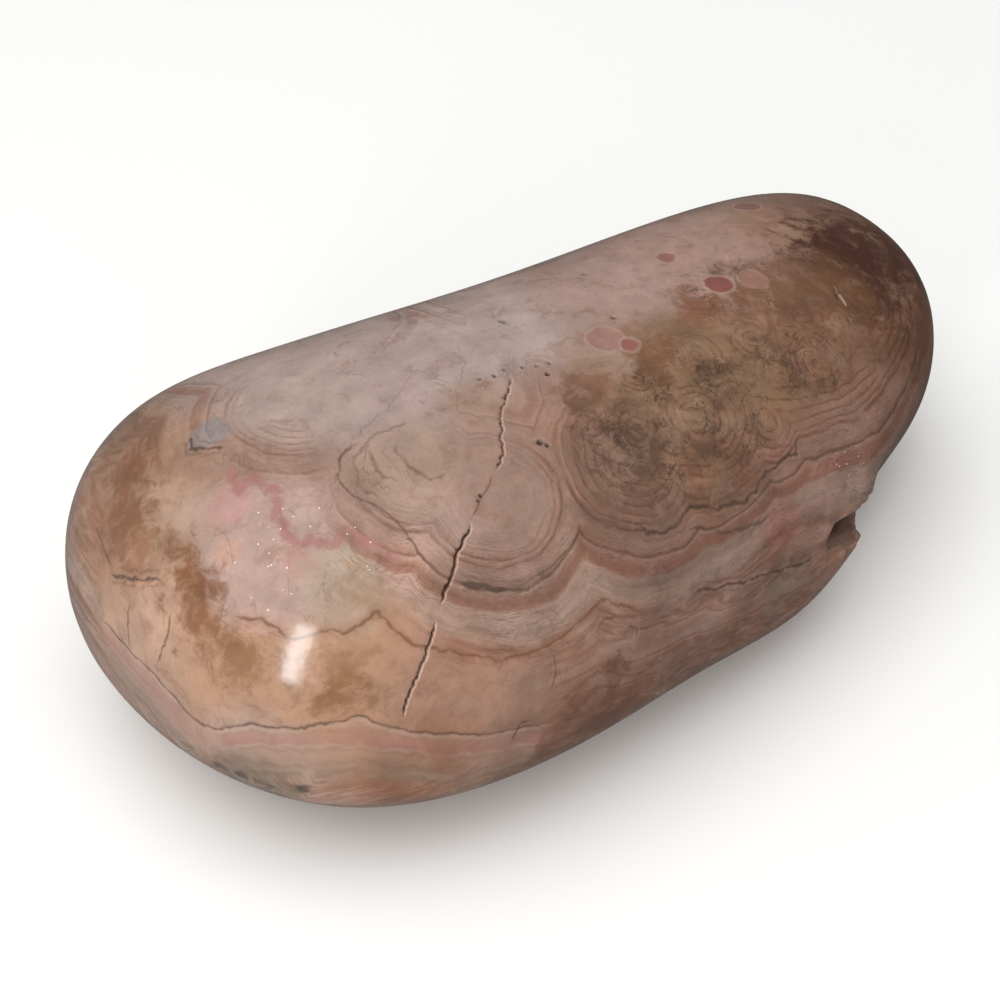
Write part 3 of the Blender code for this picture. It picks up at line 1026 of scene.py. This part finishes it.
def broad_layers(finish, place, growth, banding, colour):
    """The colour with the broad layers on: faint near the first skins, and full beyond the main layers."""
    layers = layer_noise(finish, place, growth, 0.3, 3.0, 0.5)
    tint = finish.add("ValToRGB", {0: layers}, "Color", stops=BROAD_LAYERS)
    limits = {"From Min": 8.0, "From Max": 10.5, "To Min": 0.2, "To Max": 1.0}
    amount = finish.add("MapRange", {"Value": growth, **limits})
    amount = finish.add("Math", {0: amount, 1: banding}, operation="MULTIPLY")
    return tinted_by(finish, tint, amount, colour)


def fine_layers(finish, place, growth, banding, layers, colour):
    """The colour with fine light, dark, rose and near-black layers on, strongest near the first skin."""
    limits = {"From Min": 16.0, "From Max": 8.0, "To Min": 0.1, "To Max": 1.0}
    near_skin = finish.add("MapRange", {"Value": growth, **limits})
    limits = {"From Min": -6.0, "From Max": -0.8, "To Min": 0.08, "To Max": 1.0}
    off_heart = finish.add("MapRange", {"Value": growth, **limits})
    lined = finish.add("Math", {0: banding, 1: near_skin}, operation="MULTIPLY")
    lined = finish.add("Math", {0: lined, 1: off_heart}, operation="MULTIPLY")

    limits = {"From Min": 0.3, "From Max": 0.7, "To Min": 0.74, "To Max": 1.24}
    light_and_dark = finish.add("MapRange", {"Value": layers, **limits})
    shade = finish.add("Mix", {"Factor": lined, "A": 1.0, "B": light_and_dark}, data_type="FLOAT")
    colour = finish.add("VectorMath", {0: colour, "Scale": shade}, operation="SCALE")
    rose = finish.add("MapRange", {"Value": layers, "From Min": 0.54, "From Max": 0.62, "To Max": 0.22})
    rose = finish.add("Math", {0: rose, 1: lined}, operation="MULTIPLY")
    colour = finish.add("Mix", {"Factor": rose, "A": colour, "B": linear(ROSE_LAYER)}, data_type="RGBA")

    thin = finish.add("Math", {0: layers, 1: 0.03}, operation="PINGPONG")
    thin = finish.add("MapRange", {"Value": thin, "From Min": 0.009, "From Max": 0.001, "To Max": 0.75})
    patchy = finish.add("TexNoise", {"Vector": place, "Scale": 1 / THIN_LINE_PATCH, "Detail": 2.0}, "Fac")
    limits = {"From Min": 0.4, "From Max": 0.6, "To Min": 0.25, "To Max": 1.0}
    patchy = finish.add("MapRange", {"Value": patchy, **limits})
    thin = finish.add("Math", {0: thin, 1: lined}, operation="MULTIPLY")
    thin = finish.add("Math", {0: thin, 1: patchy}, operation="MULTIPLY")
    return finish.add("Mix", {"Factor": thin, "A": colour, "B": linear(DARK_LAYER)}, data_type="RGBA")


def milky_and_tan(finish, place, colour):
    """The colour with milky and tan patches and specks, a few millimetres across and smaller."""
    inputs = {"Vector": place, "Scale": 1 / MILKY_PATCH, "Detail": 6.0, "Roughness": 0.68, "Distortion": 0.4}
    patches = finish.add("TexNoise", inputs, "Fac")
    milky = finish.add("MapRange", {"Value": patches, "From Min": 0.53, "From Max": 0.66, "To Max": 0.20})
    colour = finish.add("Mix", {"Factor": milky, "A": colour, "B": linear(MILKY)}, data_type="RGBA")
    tan = finish.add("MapRange", {"Value": patches, "From Min": 0.46, "From Max": 0.36, "To Max": 0.40})
    return finish.add("Mix", {"Factor": tan, "A": colour, "B": linear(TAN)}, data_type="RGBA")


def curls(finish, place, grain, half_width, twist):
    """Thin curling lines, about grain mm apart, that come and go: 1 on a line and 0 off it."""
    inputs = {"Vector": place, "Scale": 1 / grain, "Detail": 2.5, "Roughness": 0.55, "Distortion": twist}
    swirl = finish.add("TexNoise", inputs, "Fac")
    offset = finish.add("Math", {0: swirl, 1: 0.5}, operation="SUBTRACT")
    offset = finish.add("Math", {0: offset}, operation="ABSOLUTE")
    line = finish.add("MapRange", {"Value": offset, "From Min": half_width, "From Max": half_width * 0.3})
    coming = finish.add("TexNoise", {"Vector": place, "Scale": 0.7 / grain, "Detail": 2.0}, "Fac")
    coming = finish.add("MapRange", {"Value": coming, "From Min": 0.45, "From Max": 0.6})
    return finish.add("Math", {0: line, 1: coming}, operation="MULTIPLY")


def mossy(finish, place, bent, clouded, colour):
    """The colour where manganese moss has grown: small ringed orbs, soft blotches and dark curls."""
    inside = -OUTSIDE
    for centre, radius in SMALL_ORBS:
        apart = finish.add("VectorMath", {0: bent, 1: centre}, "Value", operation="DISTANCE")
        within = finish.add("Math", {0: radius, 1: apart}, operation="SUBTRACT")
        inside = finish.add("Math", {0: within, 1: inside}, operation="MAXIMUM")
    share = finish.add("Math", {0: inside, 1: 1 / SMALL_ORB_DEPTH}, operation="MULTIPLY")
    stops = [(depth / SMALL_ORB_DEPTH, tint) for depth, tint in SMALL_ORB_RINGS]
    rings = finish.add("ValToRGB", {0: share}, "Color", stops=stops)
    broken = finish.add("TexNoise", {"Vector": place, "Scale": 1 / RING_GAP, "Detail": 3.0}, "Fac")
    limits = {"From Min": 0.38, "From Max": 0.58, "To Min": 0.15, "To Max": 0.75}
    broken = finish.add("MapRange", {"Value": broken, **limits})
    inputs = {"Vector": place, "Scale": 1 / MOSS_BLOTCH, "Detail": 5.0, "Roughness": 0.62, "Distortion": 0.5}
    blotch = finish.add("TexNoise", inputs, "Fac")
    dark = finish.add("MapRange", {"Value": blotch, "From Min": 0.52, "From Max": 0.64, "To Max": 0.75})
    pale = finish.add("MapRange", {"Value": blotch, "From Min": 0.48, "From Max": 0.36, "To Max": 0.6})
    curl = curls(finish, place, MOSS_CURL, 0.028, 1.3)
    speck = curls(finish, place, MOSS_SPECK, 0.040, 0.8)
    field = patch_cover(finish, clouded, MOSS, 1.2, 0.7)
    ringed = finish.add("Math", {0: field, 1: broken}, operation="MULTIPLY")
    colour = tinted_by(finish, rings, ringed, colour)
    for amount, strength, tone in (
        (dark, 1.0, "#543a29"),
        (pale, 1.0, "#93765f"),
        (curl, 0.7, "#3a2618"),
        (speck, 0.6, "#3f2a1b"),
    ):
        cover = finish.add("Math", {0: amount, 1: field}, operation="MULTIPLY")
        cover = finish.add("Math", {0: cover, 1: strength}, operation="MULTIPLY")
        colour = finish.add("Mix", {"Factor": cover, "A": colour, "B": linear(tone)}, data_type="RGBA")
    return colour


def stained(finish, place, colour):
    """The colour with iron stains laid on, broken up as they soaked in along the grain."""
    inputs = {"Vector": place, "Scale": 1 / STAIN_MOTTLE, "Detail": 5.0, "Roughness": 0.65}
    mottle = finish.add("TexNoise", inputs, "Fac")
    broken = finish.add("Math", {0: mottle, 1: 0.5}, operation="SUBTRACT")
    for centre, reach, stain, amount in STAINS:
        apart = finish.add("VectorMath", {0: place, 1: centre}, "Value", operation="DISTANCE")
        share = finish.add("Math", {0: apart, 1: 1 / reach}, operation="MULTIPLY")
        uneven = finish.add("Math", {0: broken, 1: 3.2, 2: share}, operation="MULTIPLY_ADD")
        limits = {"From Min": 1.4, "From Max": 0.1, "To Max": amount}
        cover = finish.add("MapRange", {"Value": uneven, **limits}, interpolation_type="SMOOTHSTEP")
        colour = finish.add("Mix", {"Factor": cover, "A": colour, "B": linear(stain)}, data_type="RGBA")
    return colour


def crystals_set_in(finish, place, colour):
    """The colour with clear rose crystals set in, each inside a thin pale rim."""
    for centre, radius, rose, amount in CRYSTALS:
        rim = spot_cover(finish, place, centre, radius + 0.55, radius + 0.2, 0.5 * amount)
        colour = finish.add("Mix", {"Factor": rim, "A": colour, "B": linear(CRYSTAL_RIM)}, data_type="RGBA")
        core = spot_cover(finish, place, centre, radius + 0.1, radius - 0.2, amount)
        colour = finish.add("Mix", {"Factor": core, "A": colour, "B": linear(rose)}, data_type="RGBA")
    return colour


def with_rose_vein(finish, place, colour):
    """The colour with the soft-edged rose vein in it."""
    apart = finish.add("Attribute", give="Fac", attribute_name="rose_vein")
    ragged = finish.add("TexNoise", {"Vector": place, "Scale": 1 / VEIN_RAGGEDNESS, "Detail": 3.0}, "Fac")
    uneven = finish.add("Math", {0: ragged, 1: 1.8, 2: apart}, operation="MULTIPLY_ADD")
    edge, core = ROSE_VEIN_HALF_WIDTH + 1.5, ROSE_VEIN_HALF_WIDTH + 0.8
    limits = {"From Min": edge, "From Max": core, "To Max": 0.75}
    vein = finish.add("MapRange", {"Value": uneven, **limits}, interpolation_type="SMOOTHSTEP")
    return finish.add("Mix", {"Factor": vein, "A": colour, "B": linear(VEIN_ROSE)}, data_type="RGBA")


def wispy(finish, place, growth, colour):
    """The colour with faint brown wisps over the whole cut outside the hearts."""
    wisps = curls(finish, place, WISP, 0.010, 0.9)
    plain = finish.add("MapRange", {"Value": growth, "From Min": -1.0, "From Max": 2.0, "To Max": 0.28})
    wisps = finish.add("Math", {0: wisps, 1: plain}, operation="MULTIPLY")
    return finish.add("Mix", {"Factor": wisps, "A": colour, "B": linear(WISP_BROWN)}, data_type="RGBA")


def with_painted_glints(finish, place, clouded, colour):
    """The colour with painted glints, bright spots of reflected light on tiny cleavage faces, crowded in the
    crystal bed and along the row of pits.
    """
    grains = {"Vector": place, "Scale": 1 / CLEAVAGE_GRAIN, "Randomness": 1.0}
    middle = finish.add("TexVoronoi", grains, "Distance")
    chance = finish.add("TexVoronoi", grains, "Color")
    face = finish.add("MapRange", {"Value": middle, "From Min": 0.24, "From Max": 0.12})
    crowd = 0.0
    for centre, reach, share in PAINTED_GLINT_BEDS:
        apart = finish.add("VectorMath", {0: clouded, 1: centre}, "Value", operation="DISTANCE")
        limits = {"From Min": reach, "From Max": reach * 0.6, "To Max": share}
        cover = finish.add("MapRange", {"Value": apart, **limits})
        crowd = finish.add("Math", {0: cover, 1: crowd}, operation="MAXIMUM")
    picked = finish.add("VectorMath", {0: chance, 1: (0.34, 0.33, 0.33)}, "Value", operation="DOT_PRODUCT")
    picked = finish.add("MapRange", {"Value": picked, "From Min": 0.22, "From Max": 0.78})
    lucky = finish.add("Math", {0: picked, 1: crowd}, operation="LESS_THAN")
    # The painted glint: a bright spot put into the colour where a cleavage face would reflect the light.
    bright = finish.add("Math", {0: face, 1: lucky}, operation="MULTIPLY")
    bright = finish.add("Math", {0: bright, 1: 0.8}, operation="MULTIPLY")
    return finish.add("Mix", {"Factor": bright, "A": colour, "B": linear(PAINTED_GLINT)}, data_type="RGBA")


def low_layers(finish, place, colour):
    """The colour with the layers below the low seam, which run parallel to it and sway more further down."""
    side = finish.add("Attribute", give="Fac", attribute_name="low_seam_side")
    width = finish.add("Attribute", give="Fac", attribute_name="low_seam_width")
    inputs = {"Vector": place, "Scale": 1 / LOW_LAYER_SWAY, "Detail": 4.0, "Roughness": 0.6}
    sway = finish.add("TexNoise", inputs, "Fac")
    sway = finish.add("Math", {0: sway, 1: 5.0, 2: -2.5}, operation="MULTIPLY_ADD")
    deep = finish.add("MapRange", {"Value": side, "From Min": -0.5, "From Max": -3.5})
    sway = finish.add("Math", {0: sway, 1: deep}, operation="MULTIPLY")
    below = finish.add("Math", {0: sway, 1: side}, operation="SUBTRACT")
    below = finish.add("Math", {0: below, 1: 1 / LOW_LAYER_SPAN}, operation="MULTIPLY")
    stops = [(distance / LOW_LAYER_SPAN, tone) for distance, tone in LOW_LAYERS]
    low_colour = finish.add("ValToRGB", {0: below}, "Color", stops=stops)
    cover = finish.add("Math", {0: below, 1: 40.0}, operation="MULTIPLY", use_clamp=True)
    full = finish.add("Math", {0: width, 1: 6.5}, operation="MULTIPLY", use_clamp=True)
    cover = finish.add("Math", {0: cover, 1: full}, operation="MULTIPLY")
    thick = finish.add("TexNoise", {"Vector": place, "Scale": 1 / LOW_LAYER_PATCH, "Detail": 3.0}, "Fac")
    limits = {"From Min": 0.38, "From Max": 0.58, "To Min": 0.25, "To Max": 0.85}
    thick = finish.add("MapRange", {"Value": thick, **limits})
    cover = finish.add("Math", {0: cover, 1: thick}, operation="MULTIPLY")
    return finish.add("Mix", {"Factor": cover, "A": colour, "B": low_colour}, data_type="RGBA")


def seam_cover(finish, name, place, wobble, softness, beside, spread):
    """Where a family's lines cover the surface, from their side distance and width at each vertex.

    The cover may lie some way beside the line, and may spread wider than the line by so many mm.
    """
    side = finish.add("Attribute", give="Fac", attribute_name=name + "_side")
    width = finish.add("Attribute", give="Fac", attribute_name=name + "_width")
    ragged = finish.add("TexNoise", {"Vector": place, "Scale": 1 / SEAM_RAGGEDNESS, "Detail": 3.0}, "Fac")
    centred = finish.add("Math", {0: ragged, 1: 0.5}, operation="SUBTRACT")
    shifted = finish.add("Math", {0: centred, 1: wobble, 2: side}, operation="MULTIPLY_ADD")
    shifted = finish.add("Math", {0: shifted, 1: beside}, operation="SUBTRACT")
    apart = finish.add("Math", {0: shifted}, operation="ABSOLUTE")
    uneven = finish.add("TexNoise", {"Vector": place, "Scale": 1 / SEAM_SWELL, "Detail": 2.0}, "Fac")
    limits = {"From Min": 0.3, "From Max": 0.6, "To Min": 0.3, "To Max": 1.3}
    fullness = finish.add("MapRange", {"Value": uneven, **limits})
    room = finish.add("Math", {0: width, 1: fullness, 2: spread}, operation="MULTIPLY_ADD")
    spare = finish.add("Math", {0: room, 1: apart}, operation="SUBTRACT")
    edge = finish.add("MapRange", {"Value": spare, "From Min": -softness, "From Max": softness})
    present = finish.add("Math", {0: width, 1: 12.0}, operation="MULTIPLY", use_clamp=True)
    return finish.add("Math", {0: edge, 1: present}, operation="MULTIPLY")


def seamed(finish, place, colour):
    """The colour with seams of brown iron oxide and near-black manganese oxide laid in."""
    for name, tone, amount, wobble, softness, beside, spread in SEAM_LOOKS:
        cover = seam_cover(finish, name, place, wobble, softness, beside, spread)
        cover = finish.add("Math", {0: cover, 1: amount}, operation="MULTIPLY")
        colour = finish.add("Mix", {"Factor": cover, "A": colour, "B": linear(tone)}, data_type="RGBA")
    return colour


def with_painted_lip_highlight(finish, colour):
    """The colour with a pale painted highlight along one lip of the open crack, the lip that would catch the
    light.
    """
    side = finish.add("Attribute", give="Fac", attribute_name="crack_side")
    width = finish.add("Attribute", give="Fac", attribute_name="crack_width")
    off_lip = finish.add("Math", {0: side, 1: width}, operation="SUBTRACT")
    off_lip = finish.add("Math", {0: off_lip, 1: 0.12}, operation="SUBTRACT")
    off_lip = finish.add("Math", {0: off_lip}, operation="ABSOLUTE")
    lip = finish.add("MapRange", {"Value": off_lip, "From Min": 0.18, "From Max": 0.05, "To Max": 0.45})
    present = finish.add("Math", {0: width, 1: 8.0}, operation="MULTIPLY", use_clamp=True)
    lip = finish.add("Math", {0: lip, 1: present}, operation="MULTIPLY")
    return finish.add("Mix", {"Factor": lip, "A": colour, "B": linear(PAINTED_LIP_HIGHLIGHT)}, data_type="RGBA")


def rhodochrosite():
    """Banded rhodochrosite, cut and polished to a wet-looking gloss: dusty pink, tan and brown growth layers.

    The carbonate takes a high polish (IOR 1.6 to 1.8), so the eye sees crisp window reflections over soft,
    slightly cloudy colour, with fine dark manganese lines between the layers.
    """
    finish = Finish("polished_banded_rhodochrosite")
    metres = finish.add("TexCoord", give="Object")
    place = finish.add("VectorMath", {0: metres, "Scale": 1 / MM}, operation="SCALE")
    banded = drifted(finish, place, 1.1, 0.16)
    clouded = drifted(finish, place, 2.2, 0.7)
    edged = drifted(finish, place, 0.5, 0.35)
    growth, heart, heart_amount = growth_and_hearts(finish, banded)

    colour = zoned_ground(finish, clouded)
    colour = with_hearts(finish, growth, heart, heart_amount, colour)
    banding = banding_strength(finish, place, clouded)
    colour = main_layers(finish, place, clouded, growth, banding, colour)
    colour = broad_layers(finish, place, growth, banding, colour)
    # Fine layers, 0.3 to 1 mm thick, run along the same skins and wander a little across them.
    layers = layer_noise(finish, place, growth, 0.75, 5.0, 0.62)
    colour = fine_layers(finish, place, growth, banding, layers, colour)
    colour = milky_and_tan(finish, clouded, colour)
    colour = mossy(finish, place, banded, clouded, colour)
    colour = stained(finish, clouded, colour)
    colour = crystals_set_in(finish, edged, colour)
    colour = with_rose_vein(finish, place, colour)

    # Cloudiness a few millimetres across, and the sugar grain of the carbonate.
    inputs = {"Vector": place, "Scale": 1 / CLOUD, "Detail": 6.0, "Roughness": 0.6}
    cloud = finish.add("TexNoise", inputs, "Fac")
    limits = {"From Min": 0.3, "From Max": 0.7, "To Min": 0.82, "To Max": 1.15}
    cloud = finish.add("MapRange", {"Value": cloud, **limits})
    colour = finish.add("VectorMath", {0: colour, "Scale": cloud}, operation="SCALE")
    inputs = {"Vector": place, "Scale": 1 / SUGAR_GRAIN, "Detail": 4.0, "Roughness": 0.7}
    grain = finish.add("TexNoise", inputs, "Fac")
    limits = {"From Min": 0.3, "From Max": 0.7, "To Min": 0.93, "To Max": 1.07}
    grain_shade = finish.add("MapRange", {"Value": grain, **limits})
    colour = finish.add("VectorMath", {0: colour, "Scale": grain_shade}, operation="SCALE")

    colour = wispy(finish, place, growth, colour)
    # Painted glints of cleavage faces.
    colour = with_painted_glints(finish, place, clouded, colour)
    colour = low_layers(finish, place, colour)
    colour = seamed(finish, place, colour)
    # A painted highlight along one lip of the open crack.
    colour = with_painted_lip_highlight(finish, colour)

    # The open crack and pits are painted dark as shade, and the cleft is painted with shade that deepens from
    # the stone's own colour to a near-black throat.
    crack = finish.add("Attribute", give="Fac", attribute_name="crack")
    colour = finish.add("Mix", {"Factor": crack, "A": colour, "B": linear(PAINTED_CRACK_SHADE)}, data_type="RGBA")
    pit = finish.add("Attribute", give="Fac", attribute_name="pit")
    colour = finish.add("Mix", {"Factor": pit, "A": colour, "B": linear(PAINTED_PIT_SHADE)}, data_type="RGBA")
    depth = finish.add("Attribute", give="Fac", attribute_name="cleft_depth")
    limits = {"From Min": 0.2, "From Max": 2.6}
    throat = finish.add("MapRange", {"Value": depth, **limits}, interpolation_type="SMOOTHSTEP")
    colour = finish.add("Mix", {"Factor": throat, "A": colour, "B": linear(PAINTED_THROAT_SHADE)}, data_type="RGBA")

    # The polish is a little uneven from grain to grain, and doesn't reach into the crack, pits and cleft.
    raw = finish.add("Math", {0: crack, 1: throat}, operation="MAXIMUM")
    raw = finish.add("Math", {0: raw, 1: pit}, operation="MAXIMUM")
    limits = {"From Min": 0.3, "From Max": 0.7, "To Min": 0.10, "To Max": 0.18}
    polish = finish.add("MapRange", {"Value": grain, **limits})
    roughness = finish.add("Mix", {"Factor": raw, "A": polish, "B": RAW_ROUGHNESS}, data_type="FLOAT")

    relief = finish.add("Math", {0: layers, 1: 1.5, 2: grain}, operation="MULTIPLY_ADD")
    bump = finish.add("Bump", {"Height": relief, "Strength": 0.08, "Distance": 0.08 * MM})

    shader = finish.shader
    finish.tree.links.new(colour, shader.inputs["Base Color"])
    finish.tree.links.new(roughness, shader.inputs["Roughness"])
    finish.tree.links.new(bump, shader.inputs["Normal"])
    shader.inputs["IOR"].default_value = RHODOCHROSITE_IOR
    return finish.material


stone.data.materials.clear()
stone.data.materials.append(rhodochrosite())
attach(stone, "root")
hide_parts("stone")


# ---- The studio ----


def direction(azimuth, elevation):
    """The unit vector towards an azimuth and elevation in degrees. Azimuth 0 is -Y, and -90 is -X."""
    a, e = math.radians(azimuth), math.radians(elevation)
    return Vector((math.sin(a) * math.cos(e), -math.cos(a) * math.cos(e), math.sin(e)))


def placed(name, data, place, aim, roll=0.0):
    """An object that stands at one place and points its -Z at another, in mm, rolled by so many degrees."""
    obj = bpy.data.objects.new(name, data)
    bpy.context.scene.collection.objects.link(obj)
    obj.location = Vector(place) * MM
    facing = (Vector(aim) - Vector(place)).to_track_quat("-Z", "Y")
    obj.rotation_euler = (facing @ Quaternion((0, 0, 1), math.radians(roll))).to_euler()
    return obj


def white_table():
    """A plain sheet of matt white paper, larger than any view. It is kept out of the stone's gloss."""
    half = TABLE_HALF_METRES
    corners = [(-half, -half, 0), (half, -half, 0), (half, half, 0), (-half, half, 0)]
    mesh = bpy.data.meshes.new("white_table")
    mesh.from_pydata(corners, [], [(0, 1, 2, 3)])
    table = bpy.data.objects.new("white_table", mesh)
    bpy.context.scene.collection.objects.link(table)
    paper = Finish("matt_white_paper")
    paper.shader.inputs["Base Color"].default_value = linear("#f4f4f2")
    paper.shader.inputs["Roughness"].default_value = 0.9
    mesh.materials.append(paper.material)
    table.visible_glossy = False
    return table


def soft_box(name, place, aim, roll, size, power):
    """A rectangular area light."""
    light = bpy.data.lights.new(name, "AREA")
    light.shape = "RECTANGLE"
    light.size, light.size_y = (side * MM for side in size)
    light.energy = power
    box = placed(name, light, place, aim, roll)
    box.visible_camera = False
    return box


def soft_ceiling():
    """A broad light overhead, too diffuse to show in the polish, so it is kept out of the gloss."""
    size = (CEILING_SIZE, CEILING_SIZE)
    ceiling = soft_box("ceiling", CEILING_PLACE, STONE_MIDDLE, 0, size, CEILING_POWER)
    ceiling.visible_glossy = False


def pale_room():
    """A pale surround, brighter on the left than on the right, as in a room with one window."""
    world = bpy.data.worlds.new("pale_room")
    bpy.context.scene.world = world
    world.use_nodes = True
    nodes, links = world.node_tree.nodes, world.node_tree.links
    background = nodes["Background"]
    coordinates = nodes.new("ShaderNodeTexCoord")
    facing = nodes.new("ShaderNodeVectorMath")
    facing.operation = "DOT_PRODUCT"
    facing.inputs[1].default_value = direction(SKY_BRIGHT_AZIMUTH, SKY_BRIGHT_ELEVATION)
    strength = nodes.new("ShaderNodeMapRange")
    strength.inputs["From Min"].default_value = -1.0
    strength.inputs["From Max"].default_value = 1.0
    strength.inputs["To Min"].default_value = SKY_DIM
    strength.inputs["To Max"].default_value = SKY_BRIGHT
    links.new(coordinates.outputs["Generated"], facing.inputs[0])
    links.new(facing.outputs["Value"], strength.inputs["Value"])
    links.new(strength.outputs["Result"], background.inputs["Strength"])
    background.inputs["Color"].default_value = (1.0, 1.0, 1.0, 1.0)


white_table()
pale_room()
soft_ceiling()
window_place = WINDOW_AIM + direction(WINDOW_AZIMUTH, WINDOW_ELEVATION) * WINDOW_DISTANCE
soft_box("window", window_place, WINDOW_AIM, WINDOW_ROLL, WINDOW_SIZE, WINDOW_POWER)

lens = bpy.data.cameras.new("camera")
lens.lens = CAMERA_LENS
lens.clip_start = 0.01
camera_place = CAMERA_AIM + direction(CAMERA_AZIMUTH, CAMERA_ELEVATION) * CAMERA_DISTANCE
bpy.context.scene.camera = placed("camera", lens, camera_place, CAMERA_AIM)
bpy.context.scene.view_settings.view_transform = "Standard"
